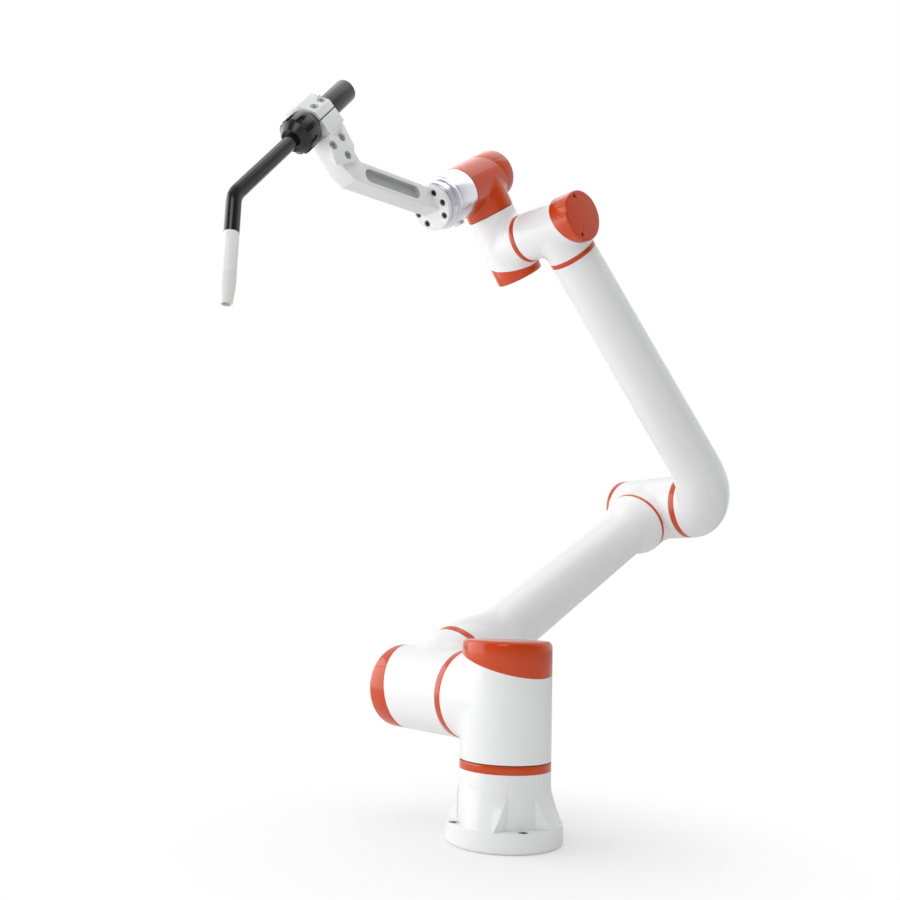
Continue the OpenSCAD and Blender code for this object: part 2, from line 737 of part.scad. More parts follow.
base_casting();
base_ring();
base_output_disc();
shoulder_housing();
shoulder_cap();
shoulder_ring();
shoulder_output_disc();
upper_joint_housing();
upper_joint_cap();
upper_arm_lower_ring();
upper_arm_tube();
upper_arm_upper_ring();
elbow_housing();
elbow_cap();
elbow_output_disc();
elbow_ring();
forearm_tube();
forearm_ring();
wrist_1_housing();
wrist_1_cap();
wrist_1_output_disc();
wrist_2_ring();
wrist_2_housing();
wrist_2_cap();
wrist_2_output_disc();
wrist_3_housing();
wrist_3_cap();
wrist_3_output_disc();
tool_flange();
bracket_plate();
bracket_bar();
clamp_foot();
clamp_lower();
clamp_upper();
torch_body();
collet_nut();
torch_neck();
nozzle_sleeve();
gas_nozzle();
contact_tip();
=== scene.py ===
import math
import bmesh
import bpy
from mathutils import Matrix, Vector


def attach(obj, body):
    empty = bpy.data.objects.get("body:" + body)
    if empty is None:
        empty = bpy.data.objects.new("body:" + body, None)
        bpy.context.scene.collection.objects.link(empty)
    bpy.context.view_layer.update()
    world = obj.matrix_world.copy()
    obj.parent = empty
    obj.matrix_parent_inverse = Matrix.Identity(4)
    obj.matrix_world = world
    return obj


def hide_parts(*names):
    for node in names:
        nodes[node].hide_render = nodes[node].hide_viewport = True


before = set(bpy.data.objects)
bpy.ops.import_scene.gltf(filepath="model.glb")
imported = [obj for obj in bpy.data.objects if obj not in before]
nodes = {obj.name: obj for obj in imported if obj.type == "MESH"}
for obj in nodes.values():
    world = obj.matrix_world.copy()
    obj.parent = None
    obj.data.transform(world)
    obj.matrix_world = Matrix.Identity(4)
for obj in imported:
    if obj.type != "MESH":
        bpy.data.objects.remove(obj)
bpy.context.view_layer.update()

bpy.ops.object.select_all(action="DESELECT")


# Camera: a normal lens at the height of the shoulder, tilted up to take in the whole arm.
CAMERA_PLACE = (1.0799, 1.0951, 0.3599)
CAMERA_TURN, CAMERA_TILT, CAMERA_ROLL = 139.38, 10.2, 1.86
bpy.ops.object.camera_add()
camera = bpy.context.object
camera.name = "photo_camera"
camera.data.sensor_width = 36
camera.data.lens = 35.9
camera.data.clip_start = 0.05
camera.matrix_world = (Matrix.Translation(CAMERA_PLACE)
                       @ Matrix.Rotation(math.radians(CAMERA_TURN), 4, "Z")
                       @ Matrix.Rotation(math.radians(90 + CAMERA_TILT), 4, "X")
                       @ Matrix.Rotation(math.radians(CAMERA_ROLL), 4, "Z"))
bpy.context.scene.camera = camera


# Studio: a pale floor that fades into a white room, a large soft key from the camera's left and two weaker fills.
def linear(code):
    """An sRGB hex colour as linear RGBA."""
    channels = [int(code[i:i + 2], 16) / 255 for i in (1, 3, 5)]
    return (*[c / 12.92 if c < 0.04045 else ((c + 0.055) / 1.055) ** 2.4 for c in channels], 1)


def add_node(tree, kind, inputs=None, **settings):
    """One shader node with its settings. An input is a value, or a (node, output) pair that is linked to it."""
    node = tree.nodes.new(kind)
    for name, value in settings.items():
        setattr(node, name, value)
    for name, value in (inputs or {}).items():
        if isinstance(value, tuple) and isinstance(value[0], bpy.types.Node):
            tree.links.new(value[0].outputs[value[1]], node.inputs[name])
        else:
            node.inputs[name].default_value = value
    return node


world = bpy.data.worlds.new("white_room")
bpy.context.scene.world = world
world.use_nodes = True
tree = world.node_tree
tree.nodes.clear()
seen = add_node(tree, "ShaderNodeLightPath")
direct = add_node(tree, "ShaderNodeMath", {0: (seen, "Is Camera Ray"), 1: (seen, "Is Transmission Ray")}, operation="MAXIMUM")
heading = add_node(tree, "ShaderNodeTexCoord")
behind = add_node(tree, "ShaderNodeVectorMath", {0: (heading, "Generated"), 1: (-0.62, -0.7, 0.35)}, operation="DOT_PRODUCT")
wall = add_node(tree, "ShaderNodeMapRange", {"Value": (behind, "Value"), "From Min": -0.35, "From Max": 0.45, "To Min": 0.12},
                interpolation_type="SMOOTHSTEP")
mirrored = add_node(tree, "ShaderNodeBackground", {"Color": (1, 1, 1, 1), "Strength": (wall, "Result")})
room = add_node(tree, "ShaderNodeBackground", {"Color": linear("#F4F5F7"), "Strength": 0.52})
white_card = add_node(tree, "ShaderNodeBackground", {"Color": (1, 1, 1, 1), "Strength": 1.0})
gloss = add_node(tree, "ShaderNodeMixShader", {0: (seen, "Is Glossy Ray"), 1: (room, 0), 2: (mirrored, 0)})
mix = add_node(tree, "ShaderNodeMixShader", {0: (direct, 0), 1: (gloss, 0), 2: (white_card, 0)})
add_node(tree, "ShaderNodeOutputWorld", {"Surface": (mix, 0)})

bpy.ops.mesh.primitive_circle_add(vertices=96, radius=14, fill_type="NGON", location=(0, 0, -0.0005))
floor = bpy.context.object
floor.name = "studio_floor"
floor_paint = bpy.data.materials.new("pale_studio_floor")
floor_paint.use_nodes = True
tree = floor_paint.node_tree
tree.nodes.clear()
place = add_node(tree, "ShaderNodeTexCoord")
far = add_node(tree, "ShaderNodeVectorMath", {0: (place, "Object")}, operation="LENGTH")
fade = add_node(tree, "ShaderNodeMapRange", {"Value": (far, "Value"), "From Min": -0.25, "From Max": 0.6}, interpolation_type="SMOOTHSTEP")
ray = add_node(tree, "ShaderNodeLightPath")
card = add_node(tree, "ShaderNodeMath", {0: (fade, "Result"), 1: (ray, "Is Camera Ray")}, operation="MULTIPLY")
matt = add_node(tree, "ShaderNodeBsdfDiffuse", {"Color": linear("#F6F6F6")})
bright = add_node(tree, "ShaderNodeEmission", {"Color": (1, 1, 1, 1), "Strength": 1.0})
mix = add_node(tree, "ShaderNodeMixShader", {0: (card, 0), 1: (matt, 0), 2: (bright, 0)})
add_node(tree, "ShaderNodeOutputMaterial", {"Surface": (mix, 0)})
floor.data.materials.append(floor_paint)


def add_lamp(name, place, target, width, height, watts):
    """A rectangular soft box that faces its target."""
    bpy.ops.object.light_add(type="AREA", location=place)
    lamp = bpy.context.object
    lamp.name = name
    lamp.data.shape = "RECTANGLE"
    lamp.data.size, lamp.data.size_y = width, height
    lamp.data.energy = watts
    lamp.visible_camera = False
    lamp.rotation_euler = (Vector(target) - Vector(place)).to_track_quat("-Z", "Y").to_euler()
    return lamp


add_lamp("key_box", (1.7, -1.87, 1.15), (-0.2, -0.1, 0.65), 3.1, 2.5, 49)
add_lamp("front_box", (2.3, 1.5, 1.9), (-0.2, -0.1, 0.6), 1.4, 1.4, 18)
add_lamp("top_box", (-0.4, -0.2, 3.0), (-0.2, -0.1, 0.6), 2.4, 2.4, 17)
bpy.context.scene.view_settings.view_transform = "Standard"


# Base casting: one aluminium casting, a column that flares into a bolted flange with four screw pockets.
# It is sand cast, machined on its seat and its pockets, and sprayed with gloss white paint.
MM = 0.001


def start_edit(piece):
    """Selects one piece alone and opens it in edit mode with nothing selected."""
    bpy.ops.object.select_all(action="DESELECT")
    piece.select_set(True)
    bpy.context.view_layer.objects.active = piece
    bpy.ops.object.mode_set(mode="EDIT")
    bpy.ops.mesh.select_all(action="DESELECT")


def end_edit():
    bpy.ops.object.mode_set(mode="OBJECT")


def add_modifier(piece, kind, **settings):
    """A modifier with its settings, applied at once."""
    bpy.ops.object.select_all(action="DESELECT")
    piece.select_set(True)
    bpy.context.view_layer.objects.active = piece
    modifier = piece.modifiers.new(kind.lower(), kind)
    for name, value in settings.items():
        setattr(modifier, name, value)
    bpy.ops.object.modifier_apply(modifier=modifier.name)


def smooth(piece, degrees=32):
    """Smooth shading that keeps edges sharper than an angle."""
    bpy.ops.object.select_all(action="DESELECT")
    piece.select_set(True)
    bpy.context.view_layer.objects.active = piece
    bpy.ops.object.shade_smooth_by_angle(angle=math.radians(degrees))


def bevelled_copy(node, name, width, degrees=35, segments=3):
    """A merged copy of a CAD node with its sharp edges rounded, width in mm."""
    piece = nodes[node].copy()
    piece.data = nodes[node].data.copy()
    piece.name = name
    piece.parent = None
    piece.matrix_world = Matrix.Identity(4)
    bpy.context.collection.objects.link(piece)
    start_edit(piece)
    bpy.ops.mesh.select_all(action="SELECT")
    bpy.ops.mesh.remove_doubles(threshold=0.00002)
    bpy.ops.mesh.select_all(action="SELECT")
    bpy.ops.mesh.dissolve_limited(angle_limit=math.radians(1.5))
    end_edit()
    add_modifier(piece, "BEVEL", width=width * MM, segments=segments, limit_method="ANGLE",
                 angle_limit=math.radians(degrees), use_clamp_overlap=True, harden_normals=False)
    smooth(piece, 35)
    piece.data.materials.clear()
    return piece


def finish_piece(piece, material, body, replaced=()):
    """Gives a finished piece its material and its body, and hides the CAD node it stands for."""
    piece.data.materials.clear()
    piece.data.materials.append(material)
    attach(piece, body)
    if replaced:
        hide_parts(*replaced)


def paint(name, colour, second, roughness, coat, peel_mm=2.0, peel_depth=0.02):
    """Sprayed paint with a faint orange peel, and a slow drift between two close shades."""
    material = bpy.data.materials.new(name)
    material.use_nodes = True
    tree = material.node_tree
    tree.nodes.clear()
    place = add_node(tree, "ShaderNodeTexCoord")
    drift = add_node(tree, "ShaderNodeTexNoise", {"Vector": (place, "Object"), "Scale": 7.0, "Detail": 2.0})
    shade = add_node(tree, "ShaderNodeMix", {0: (drift, 0), 6: linear(colour), 7: linear(second)}, data_type="RGBA")
    peel = add_node(tree, "ShaderNodeTexNoise", {"Vector": (place, "Object"), "Scale": 1000 / peel_mm, "Detail": 1.0})
    bump = add_node(tree, "ShaderNodeBump", {"Height": (peel, 0), "Strength": 0.25, "Distance": peel_depth * MM})
    gloss = add_node(tree, "ShaderNodeMapRange", {"Value": (drift, 0), "To Min": roughness - 0.03, "To Max": roughness + 0.03})
    skin = add_node(tree, "ShaderNodeBsdfPrincipled", {
        "Base Color": (shade, 2), "Roughness": (gloss, 0), "Normal": (bump, 0), "Coat Weight": coat, "Coat Roughness": 0.12})
    add_node(tree, "ShaderNodeOutputMaterial", {"Surface": (skin, 0)})
    return material


# White two-pack paint: even and bright, with the soft reflection of a satin to gloss coat.
white_paint = paint("white_gloss_paint", "#F0F0EF", "#EDEDED", 0.17, 0.0)

base_casting = bevelled_copy("base_casting", "base_casting_painted", 1.6)
finish_piece(base_casting, white_paint, "base", ("base_casting",))


# Base screws: four M10 steel socket screws with washers, sunk in the counterbores of the flange.
# They are cold headed and zinc plated, so they show a pale, slightly uneven grey with a dark socket.
def grainy(name, colour, metallic, roughness, grain_mm, depth_mm, contrast=0.85):
    """A plain finish with a fine grain of its own: moulded, blasted, plated or sealed."""
    material = bpy.data.materials.new(name)
    material.use_nodes = True
    tree = material.node_tree
    tree.nodes.clear()
    place = add_node(tree, "ShaderNodeTexCoord")
    grain = add_node(tree, "ShaderNodeTexNoise", {"Vector": (place, "Object"), "Scale": 1000 / grain_mm, "Detail": 3.0})
    dark = tuple(c * contrast for c in linear(colour)[:3]) + (1,)
    shade = add_node(tree, "ShaderNodeMix", {0: (grain, 0), 6: linear(colour), 7: dark}, data_type="RGBA")
    bump = add_node(tree, "ShaderNodeBump", {"Height": (grain, 0), "Strength": 0.5, "Distance": depth_mm * MM})
    gloss = add_node(tree, "ShaderNodeMapRange", {"Value": (grain, 0), "To Min": roughness - 0.05, "To Max": roughness + 0.05})
    skin = add_node(tree, "ShaderNodeBsdfPrincipled", {
        "Base Color": (shade, 2), "Metallic": metallic, "Roughness": (gloss, 0), "Normal": (bump, 0)})
    add_node(tree, "ShaderNodeOutputMaterial", {"Surface": (skin, 0)})
    return material


def settle(piece, place):
    """Moves a finished mesh to its place in the arm and leaves its object at the origin."""
    bpy.ops.object.select_all(action="DESELECT")
    piece.select_set(True)
    bpy.context.view_layer.objects.active = piece
    piece.matrix_world = place @ piece.matrix_world
    bpy.ops.object.transform_apply(location=True, rotation=True, scale=True)


def socket_screw(name, head_d, head_h, hex_d, place, washer_d=0.0):
    """A socket head screw over the plane z = 0 of its place: chamfered head, deep hexagon socket, thin washer. mm."""
    bpy.ops.mesh.primitive_cylinder_add(vertices=32, radius=head_d / 2 * MM, depth=head_h * MM,
                                        location=(0, 0, head_h / 2 * MM))
    screw = bpy.context.object
    screw.name = name
    add_modifier(screw, "BEVEL", width=0.09 * head_h * MM, segments=2, limit_method="ANGLE",
                 angle_limit=math.radians(60))
    bpy.ops.mesh.primitive_cylinder_add(vertices=6, radius=hex_d / 2 / math.cos(math.pi / 6) * MM,
                                        depth=head_h * MM, location=(0, 0, head_h * 0.95 * MM))
    key = bpy.context.object
    add_modifier(screw, "BOOLEAN", operation="DIFFERENCE", object=key, solver="EXACT")
    bpy.data.objects.remove(key)
    if washer_d:
        bpy.ops.mesh.primitive_cylinder_add(vertices=40, radius=washer_d / 2 * MM, depth=0.8 * MM,
                                            location=(0, 0, 0.4 * MM))
        washer = bpy.context.object
        add_modifier(washer, "BEVEL", width=0.2 * MM, segments=2, limit_method="ANGLE", angle_limit=math.radians(60))
        bpy.ops.object.select_all(action="DESELECT")
        washer.select_set(True)
        screw.select_set(True)
        bpy.context.view_layer.objects.active = screw
        bpy.ops.object.join()
    smooth(screw, 40)
    settle(screw, place)
    return screw


zinc_plate = grainy("zinc_plated_steel", "#A9ABAD", 1.0, 0.38, 1.2, 0.02)
BASE_BOLTS = 170
for i in range(4):
    spot = (Matrix.Rotation(math.radians(21 + 45 + 90 * i), 4, "Z")
            @ Matrix.Translation((BASE_BOLTS / 2 * MM, 0, 22 * MM)))
    screw = socket_screw(f"base_screw_{i + 1}", 15.6, 8.4, 8, spot, washer_d=16.8)
    finish_piece(screw, zinc_plate, "base")


# Orange rings: a thin turned collar on each branch and joint, where one casting is bolted to the next.
# They are aluminium, sprayed in the orange-red of the caps, with a fine chamfer on both rims.
def spun(name, outline, place, steps=128):
    """Spins an outline of (radius, height) points in mm round its Z axis, as on a lathe."""
    mesh = bpy.data.meshes.new(name)
    mesh.from_pydata([(r * MM, 0, z * MM) for r, z in outline], [(i, i + 1) for i in range(len(outline) - 1)], [])
    piece = bpy.data.objects.new(name, mesh)
    bpy.context.collection.objects.link(piece)
    start_edit(piece)
    bpy.ops.mesh.select_all(action="SELECT")
    bpy.ops.mesh.spin(steps=steps, angle=math.tau, center=(0, 0, 0), axis=(0, 0, 1))
    bpy.ops.mesh.select_all(action="SELECT")
    bpy.ops.mesh.remove_doubles(threshold=0.000002)
    bpy.ops.mesh.select_all(action="SELECT")
    bpy.ops.mesh.normals_make_consistent(inside=False)
    end_edit()
    smooth(piece)
    settle(piece, place)
    return piece


def rounded(corners, steps=5):
    """An outline whose corners (radius, height, rounding) are turned into arcs."""
    outline = []
    for i, corner in enumerate(corners):
        here = Vector(corner[:2])
        if len(corner) < 3 or i in (0, len(corners) - 1):
            outline.append(tuple(here))
            continue
        to_last = (Vector(corners[i - 1][:2]) - here).normalized()
        to_next = (Vector(corners[i + 1][:2]) - here).normalized()
        half = to_last.angle(to_next) / 2
        reach = corner[2] / math.tan(half)
        centre = here + (to_last + to_next).normalized() * corner[2] / math.sin(half)
        first = here + to_last * reach - centre
        last = here + to_next * reach - centre
        for k in range(steps + 1):
            step = first.slerp(last, k / steps)
            outline.append(tuple(centre + step * corner[2]))
    return outline


def collar(name, radius, start, width, place, edge=0.6):
    """A solid disc with rounded rims: a ring as seen on the assembled arm. mm."""
    return spun(name, rounded([(0, start), (radius, start, edge), (radius, start + width, edge), (0, start + width)], 3),
                place)


# Orange-red two-pack paint, deep in the shade and a little pinker where the light grazes it.
orange_paint = paint("orange_gloss_paint", "#CE4408", "#C84006", 0.17, 0.0)
# Nitrile seal in the joint gap: dull near-black.
seal_rubber = grainy("dark_seal_rubber", "#4A4A4C", 0.0, 0.6, 1.0, 0.05)

COLUMN_R, RING_W, WRIST_RING_W, GAP, GAP_DEPTH = 75, 13, 9.5, 1.5, 2.5
at_base = Matrix.Identity(4)
ring = collar("base_collar", COLUMN_R, 112, RING_W, at_base)
finish_piece(ring, orange_paint, "base", ("base_ring",))
seal = spun("base_seal", rounded([(0, 124.8), (72.4, 124.8), (72.4, 126.2), (0, 126.2)]), at_base)
finish_piece(seal, seal_rubber, "base", ("base_output_disc",))


# Shoulder: a T-shaped aluminium casting whose branch flows into the upright motor housing.
# It is cast in one piece, sprayed white, and closed by a slanted orange cap of the same diameter.
def bisected(piece, height, slope, keep_top, radius):
    """Cuts a turned bar on the slanted joint, whose short side lies at +X, and closes the cut."""
    start_edit(piece)
    bpy.ops.mesh.select_all(action="SELECT")
    normal = (-math.sin(math.radians(slope)), 0, math.cos(math.radians(slope)))
    bpy.ops.mesh.bisect(plane_co=(radius * MM, 0, height * MM), plane_no=normal, use_fill=True,
                        clear_inner=keep_top, clear_outer=not keep_top)
    end_edit()


def cast_bar(name, radius, low, top, rim, edge=0.8):
    """A turned bar with a small rounding at its joint face and the cap's rounded rim at its top. mm."""
    return spun(name, rounded([(0, low), (radius, low, edge), (radius, top, rim), (0, top)], 8), Matrix.Identity(4))


CAP_SCREWS, CAP_NOTCH = (174, -51), -121


def drilled(piece, spots, radius, depth):
    """Sinks a round hole of a depth at each place, whose Z axis points out of the surface. mm."""
    for spot in spots:
        bpy.ops.mesh.primitive_cylinder_add(vertices=32, radius=radius * MM, depth=2 * depth * MM)
        drill = bpy.context.object
        settle(drill, spot)
        add_modifier(piece, "BOOLEAN", operation="DIFFERENCE", object=drill, solver="EXACT")
        bpy.data.objects.remove(drill)


def cast_cap(name, radius, top, rim, place, slope, short, body):
    """An orange cap: a short turned bar, cut on the slant and eased there, with two sunk screws in its face."""
    cap = cast_bar(name, radius, 0, top, rim)
    bisected(cap, top - short, slope, True, radius)
    spots = [Matrix.Rotation(math.radians(a), 4, "Z") @ Matrix.Translation((0.81 * radius * MM, 0, top * MM))
             for a in CAP_SCREWS]
    drilled(cap, spots, 3.9, 3)
    bpy.ops.mesh.primitive_cube_add(size=1)
    saw = bpy.context.object
    saw.scale = (1.6 * MM, 0.9 * MM, 2 * (top - rim) * MM)
    settle(saw, Matrix.Rotation(math.radians(CAP_NOTCH), 4, "Z") @ Matrix.Translation((radius * MM, 0, 0)))
    add_modifier(cap, "BOOLEAN", operation="DIFFERENCE", object=saw, solver="EXACT")
    bpy.data.objects.remove(saw)
    add_modifier(cap, "BEVEL", width=0.35 * MM, segments=2, limit_method="ANGLE", angle_limit=math.radians(50))
    smooth(cap)
    settle(cap, place)
    for i, spot in enumerate(spots):
        screw = socket_screw(f"{name}_screw_{i + 1}", 7.2, 2.2, 3.5, place @ spot @ Matrix.Translation((0, 0, -2.9 * MM)))
        finish_piece(screw, black_oxide, body)
    return cap


BLEND_W, BLEND_SIDE, BLEND_LINES, BLEND_STEPS = 14, 0.6, 128, 20


def blend_skin(name, bar_r, branch_r, reach, w_cap, w_face):
    """The cast fillet between a bar along Z and its branch along +X, as a grid of lines that fan out from the
    middle of the joint. The fillet touches the bar and the branch, and is widest at the sides. mm."""
    def neck(x):
        """Radius of the branch at x: it slims to the bar's where it is the wider of the two."""
        s = min(max(x / reach, 0), 1)
        return min(branch_r, bar_r) + max(branch_r - bar_r, 0) * s * s * (3 - 2 * s)

    bpy.ops.mesh.primitive_grid_add(x_subdivisions=BLEND_LINES, y_subdivisions=BLEND_STEPS, size=1)
    skin = bpy.context.object
    skin.name = name
    for vertex in skin.data.vertices:
        a = math.tau * round((vertex.co.x + 0.5) * BLEND_LINES) / BLEND_LINES
        t = round((vertex.co.y + 0.5) * BLEND_STEPS) / BLEND_STEPS
        side = abs(math.sin(a))
        corner = math.hypot(reach, branch_r * side)
        room = (corner - bar_r) / (1 - side * side * branch_r / corner)
        on_branch = (room ** -4 + (BLEND_SIDE * bar_r) ** -4) ** -0.25
        on_bar = (w_face + (w_cap - w_face) * (1 + math.cos(a)) / 2) * (1 - side * side) + on_branch * side * side
        r = branch_r
        for k in range(30):
            x = math.sqrt(max(bar_r ** 2 - (r * side) ** 2, 0))
            r = min((neck(x) + on_bar) / (1 + on_bar * side * side / bar_r), bar_r * 0.99999 / max(side, 0.01))
        first = math.atan2(branch_r, reach)
        fan = first + (math.atan2(r, x) - first) * t
        inside, outside = 0, 3 * bar_r
        for k in range(34):
            middle = (inside + outside) / 2
            along, out = middle * math.cos(fan), middle * math.sin(fan)
            round_bar = math.hypot(along, out * side)
            u = 1 - (round_bar - bar_r) / on_branch
            v = 1 - (out - neck(along)) / on_bar
            turn = out * side * side / round_bar
            free = round_bar > bar_r and out > neck(along)
            if free and u > v * turn and v > u * turn:
                free = u * u + v * v - 2 * u * v * turn < 1 - turn * turn
            inside, outside = (inside, middle) if free else (middle, outside)
        along, out = inside * math.cos(fan), inside * math.sin(fan) * (0.9998 if t == 1 else 1)
        vertex.co = Vector((along, out * math.sin(a), out * math.cos(a))) * MM
    start_edit(skin)
    bpy.ops.mesh.select_all(action="SELECT")
    bpy.ops.mesh.remove_doubles(threshold=0.000002)
    bpy.ops.mesh.select_all(action="DESELECT")
    bpy.ops.mesh.select_non_manifold()
    bpy.ops.mesh.fill_holes(sides=0)
    bpy.ops.mesh.select_all(action="SELECT")
    bpy.ops.mesh.normals_make_consistent(inside=False)
    end_edit()
    smooth(skin, 50)
    return skin


def joined(first, *others):
    """Joins pieces into the first one."""
    bpy.ops.object.select_all(action="DESELECT")
    for piece in (first, *others):
        piece.select_set(True)
    bpy.context.view_layer.objects.active = first
    bpy.ops.object.join()
    return first


def cast_housing(name, radius, face, top, rim, branch_r, reach, place, slope, short):
    """A motor housing: a bar cut on the slant under its cap, with a blended branch. mm."""
    bar = cast_bar(name, radius, -face, top, rim)
    bisected(bar, top - short, slope, False, radius)
    smooth(bar)
    skin = blend_skin(name + "_blend", radius, branch_r, reach, min(BLEND_W, top - short - branch_r - 1),
                      min(BLEND_W, face - branch_r - 1))
    housing = joined(bar, skin)
    settle(housing, place)
    return housing


# Screws of blackened steel: dark, with a soft metal shine.
black_oxide = grainy("black_oxide_steel", "#55565A", 1.0, 0.42, 0.8, 0.02)
SHOULDER_H, SHOULDER_REACH = 221, 83
at_shoulder = Matrix.Translation((0, 0, SHOULDER_H * MM))
shoulder = cast_housing("shoulder_casting", COLUMN_R, 94.5, 95, 8, COLUMN_R, SHOULDER_REACH,
                        at_shoulder @ Matrix.Rotation(math.radians(-90), 4, "Z"), 16.3, 14.2)
finish_piece(shoulder, white_paint, "shoulder", ("shoulder_housing",))
cap = cast_cap("shoulder_cap_cover", COLUMN_R, 95, 8, at_shoulder @ Matrix.Rotation(math.radians(-90), 4, "Z"),
               16.3, 14.2, "shoulder")
finish_piece(cap, orange_paint, "shoulder", ("shoulder_cap",))
toward_arm = at_shoulder @ Matrix.Rotation(math.radians(90), 4, "X")
ring = collar("shoulder_collar", COLUMN_R, SHOULDER_REACH, RING_W, toward_arm)
finish_piece(ring, orange_paint, "shoulder", ("shoulder_ring",))
seal = spun("shoulder_seal", [(0, 95.8), (72.4, 95.8), (72.4, 97.2), (0, 97.2)], toward_arm)
finish_piece(seal, seal_rubber, "shoulder", ("shoulder_output_disc",))


# Upper arm: a motor housing at the shoulder, a waisted tube and the elbow housing, screwed together at two
# collars. The housings are castings, the tube is drawn and necked aluminium, and all of it is painted white.
ARM_OFFSET, UPPER_LEN, UPPER_LEAN = 184.5, 760, 59
on_upper = (Matrix.Translation((0, -ARM_OFFSET * MM, SHOULDER_H * MM))
            @ Matrix.Rotation(math.radians(-UPPER_LEAN), 4, "Y"))
cap_to_minus_y = Matrix.Rotation(math.radians(-90), 4, "Y") @ Matrix.Rotation(math.radians(90), 4, "X")
FOOT_R, FOOT_REACH, FOOT_RING = 79, 75.3, 12
housing = cast_housing("upper_joint_casting", COLUMN_R, 87, 101, 8, FOOT_R, FOOT_REACH, on_upper @ cap_to_minus_y, 16, 7.5)
finish_piece(housing, white_paint, "upper_arm", ("upper_joint_housing",))
cap = cast_cap("upper_joint_cap_cover", COLUMN_R, 101, 8, on_upper @ cap_to_minus_y, 16, 7.5, "upper_arm")
finish_piece(cap, orange_paint, "upper_arm", ("upper_joint_cap",))
ring = collar("upper_arm_foot_collar", FOOT_R, FOOT_REACH, FOOT_RING, on_upper)
finish_piece(ring, orange_paint, "upper_arm", ("upper_arm_lower_ring",))

WAIST_R, HEAD_R, HEAD_REACH, HEAD_RING = 53, 70.5, 71.3, 8.5
tube_low = FOOT_REACH + FOOT_RING
tube_high = UPPER_LEN - HEAD_REACH - HEAD_RING


def waisted_radius(share):
    """Radius of the tube at a share of its length: a long flare below, a short one above, a plain waist between."""
    if share < 0.2:
        s = 1 - share / 0.2
        return WAIST_R + (FOOT_R - WAIST_R) * s * s * (3 - 2 * s)
    if share > 0.9:
        s = (share - 0.9) / 0.1
        return WAIST_R + (HEAD_R - WAIST_R) * s * s * (3 - 2 * s)
    return WAIST_R


outline = [(waisted_radius(i / 80), tube_low + (tube_high - tube_low) * i / 80) for i in range(81)]
tube = spun("upper_arm_necked_tube", [(0, tube_low)] + outline + [(0, tube_high)], on_upper)
finish_piece(tube, white_paint, "upper_arm", ("upper_arm_tube",))
ring = collar("upper_arm_head_collar", HEAD_R, tube_high, HEAD_RING, on_upper)
finish_piece(ring, orange_paint, "upper_arm", ("upper_arm_upper_ring",))

ELBOW_R, ELBOW_FACE, ELBOW_TOP = 71, 93, 85
at_elbow = on_upper @ Matrix.Translation((0, 0, UPPER_LEN * MM)) @ Matrix.Rotation(math.pi, 4, "Y")
housing = cast_housing("elbow_casting", ELBOW_R, ELBOW_FACE, ELBOW_TOP, 8, HEAD_R, HEAD_REACH,
                       at_elbow @ cap_to_minus_y, 12, 8)
finish_piece(housing, white_paint, "upper_arm", ("elbow_housing",))
cap = cast_cap("elbow_cap_cover", ELBOW_R, ELBOW_TOP, 8, at_elbow @ cap_to_minus_y, 12, 8, "upper_arm")
finish_piece(cap, orange_paint, "upper_arm", ("elbow_cap",))
seal = spun("elbow_seal", [(0, 92.8), (68.4, 92.8), (68.4, 94.2), (0, 94.2)],
            at_elbow @ Matrix.Rotation(math.radians(-90), 4, "X"))
finish_piece(seal, seal_rubber, "upper_arm", ("elbow_output_disc",))


# Forearm: a pipe bend cast on to a long tapered tube, with the elbow's collar at its foot and the first
# wrist housing at its head. The bend turns through a right angle while it narrows from the joint to the tube.
FORE_SIDE, FORE_LOW_R, FORE_TOP_R, FORE_LEN, FORE_LEAN = 64, 53, 47.5, 718, 47.6
elbow_spot = at_elbow.translation + Vector((0, 171.5 * MM, 0))
on_fore = Matrix.Translation(elbow_spot) @ Matrix.Rotation(math.radians(FORE_LEAN), 4, "Y")
ring = collar("elbow_collar", ELBOW_R, FORE_SIDE, RING_W, on_fore @ Matrix.Rotation(math.radians(90), 4, "X"))
finish_piece(ring, orange_paint, "forearm", ("elbow_ring",))

BEND_END = ELBOW_R + 49
FORE_RING_REACH = 58.5
fore_tube_end = FORE_LEN - FORE_RING_REACH - WRIST_RING_W
BEND_ROWS, TUBE_ROWS = 36, 6
bpy.ops.mesh.primitive_grid_add(x_subdivisions=128, y_subdivisions=BEND_ROWS + TUBE_ROWS, size=1)
tube = bpy.context.object
tube.name = "forearm_bent_tube"
for vertex in tube.data.vertices:
    a = math.tau * round((vertex.co.x + 0.5) * 128) / 128
    row = round((vertex.co.y + 0.5) * (BEND_ROWS + TUBE_ROWS))
    if row <= BEND_ROWS:
        s = row / BEND_ROWS
        turn = math.radians(90 * s)
        r = ELBOW_R + (FORE_LOW_R - ELBOW_R) * s * s * (3 - 2 * s)
        m = BEND_END * FORE_SIDE / math.hypot(FORE_SIDE * math.cos(turn), BEND_END * math.sin(turn)) + r * math.cos(a)
        spot = (r * math.sin(a), m * math.sin(turn) - FORE_SIDE, BEND_END - m * math.cos(turn))
    else:
        s = (row - BEND_ROWS) / TUBE_ROWS
        r = FORE_LOW_R + (FORE_TOP_R - FORE_LOW_R) * s
        spot = (r * math.sin(a), r * math.cos(a), BEND_END + (fore_tube_end - BEND_END) * s)
    vertex.co = Vector(spot) * MM
start_edit(tube)
bpy.ops.mesh.select_all(action="SELECT")
bpy.ops.mesh.remove_doubles(threshold=0.000002)
bpy.ops.mesh.select_all(action="DESELECT")
bpy.ops.mesh.select_non_manifold()
bpy.ops.mesh.fill_holes(sides=0)
bpy.ops.mesh.select_all(action="SELECT")
bpy.ops.mesh.normals_make_consistent(inside=False)
end_edit()
smooth(tube, 50)
settle(tube, on_fore)
finish_piece(tube, white_paint, "forearm", ("forearm_tube",))
